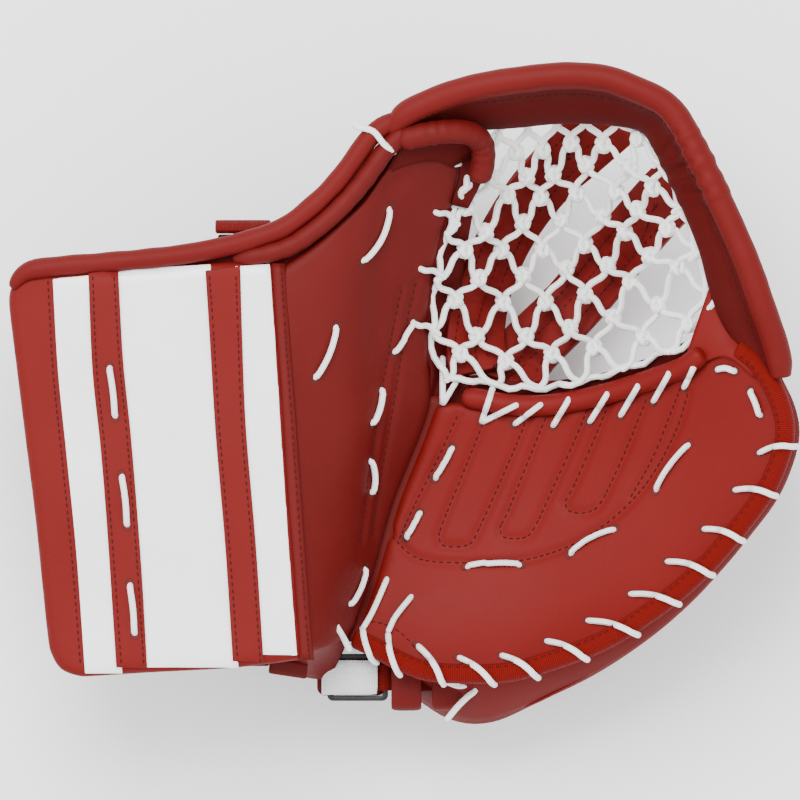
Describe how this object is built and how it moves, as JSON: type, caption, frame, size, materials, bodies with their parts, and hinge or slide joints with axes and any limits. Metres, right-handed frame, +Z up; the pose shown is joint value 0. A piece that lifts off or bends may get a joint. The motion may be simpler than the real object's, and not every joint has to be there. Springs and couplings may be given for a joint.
{
  "type": "goalie catch glove",
  "caption": "Open ice hockey goalie catch glove with padded palm, striped cuff, laced net pocket, padded rim, backhand shell and wrist strap.",
  "frame": {"origin": "centre of the glove's footprint, on the surface it lies on, with the pocket facing up", "axes": "+X from the cuff to the rim, +Y from the heel straps to the top rim, +Z up out of the pocket"},
  "size_m": [0.3866, 0.3238, 0.144],
  "materials": {
    "palm_leather": "satin synthetic leather with a fine grain",
    "thumb_leather": "satin synthetic leather, a deeper red",
    "cuff_leather": "satin synthetic leather",
    "stripe_vinyl": "white coated leather, smooth and glossy",
    "shell_leather": "satin leather over a moulded foam shell",
    "binding_tape": "ribbed woven tape",
    "plate_plastic": "fine matt texture",
    "ring_plastic": "smooth black",
    "foam": "closed-cell foam",
    "lining": "brushed knit lining",
    "elastic": "woven elastic",
    "webbing": "flat woven webbing",
    "tab_webbing": "white woven hook-and-loop tab",
    "lace": "white braided lace"
  },
  "bodies": {
    "palm": {"palm_panel": "palm_leather", "palm_edge_roll": "palm_leather", "palm_binding": "binding_tape", "palm_lining": "lining", "backhand_shell": "shell_leather", "backhand_binding": "binding_tape", "backhand_plate": "plate_plastic", "finger_gusset": "shell_leather", "hand_strap": "elastic", "side_rim": "palm_leather", "rim_corner": "thumb_leather", "t_strap_left": "palm_leather", "t_strap_right": "palm_leather", "pocket_net": "lace", "palm_laces": "lace", "edge_laces": "lace", "perimeter_lace": "lace", "rim_laces": "lace", "strap_loop_left": "thumb_leather", "strap_loop_right": "thumb_leather", "loop_webbing": "webbing", "buckle_base": "webbing", "tie_lace": "lace", "heel_ring": "ring_plastic"},
    "thumb": {"cuff_core": "foam", "cuff_cover": "cuff_leather", "cuff_liner": "lining", "cuff_edge": "cuff_leather", "cuff_stripe_left": "stripe_vinyl", "cuff_stripe_middle": "stripe_vinyl", "cuff_stripe_right": "stripe_vinyl", "cuff_band_left": "cuff_leather", "cuff_band_right": "cuff_leather", "cuff_laces": "lace", "thumb_panel": "thumb_leather", "thumb_shell": "shell_leather", "thumb_roll_outer": "thumb_leather", "thumb_roll_inner": "thumb_leather", "thumb_tip_roll": "thumb_leather", "thumb_lining": "lining", "thumb_laces": "lace", "heel_laces": "lace", "top_rim": "thumb_leather", "wrist_strap": "elastic", "strap_keeper": "webbing", "heel_strap": "thumb_leather"},
    "tab": {"heel_tab": "tab_webbing"},
    "flap": {"wrist_flap": "webbing"}
  },
  "joints": [
    {"name": "pocket_close", "type": "hinge", "parent": "palm", "child": "thumb", "pos_m": [-0.02386, -0.12195, 0.082], "axis": [0.4899, 0.8663, 0.0973], "range_deg": [0, 50], "deforming": ["palm_panel", "palm_edge_roll", "palm_lining", "pocket_net", "t_strap_left", "t_strap_right", "top_rim", "rim_corner", "palm_laces", "edge_laces", "rim_laces"]},
    {"name": "tab_peel", "type": "hinge", "parent": "palm", "child": "tab", "pos_m": [-0.03456, -0.13945, 0.062], "axis": [0, -1, 0], "range_deg": [0, 85]},
    {"name": "wrist_peel", "type": "hinge", "parent": "thumb", "child": "flap", "pos_m": [-0.07686, -0.11895, 0.022], "axis": [1, 0, 0], "range_deg": [0, 80]}
  ]
}
